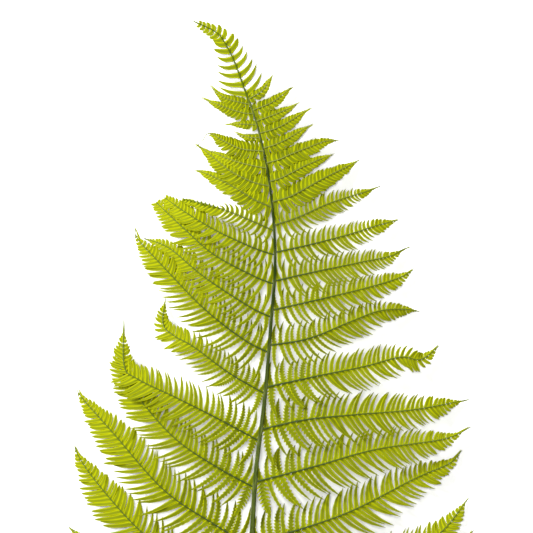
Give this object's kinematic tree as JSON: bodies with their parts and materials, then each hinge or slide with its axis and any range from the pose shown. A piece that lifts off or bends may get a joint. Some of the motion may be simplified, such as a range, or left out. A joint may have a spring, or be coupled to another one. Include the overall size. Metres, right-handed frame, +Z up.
{
  "type": "bracken frond",
  "caption": "Picked green fern frond that lies flat: a tapering stalk with paired, arching side branches cut into pointed leaflets, and a curved tip.",
  "frame": {"origin": "on the surface that the frond lies on, under the middle of the level stretch at the stalk's cut end", "axes": "+Y along the stalk towards the frond's tip, +Z up out of the frond's face, +X to the right as the face is seen from above"},
  "size_m": [0.408, 0.8587, 0.0399],
  "materials": {
    "frond_green": "fresh yellow-green fern leaf and stalk, soft satin"
  },
  "bodies": {
    "root": {"frond": "frond_green"}
  },
  "joints": []
}
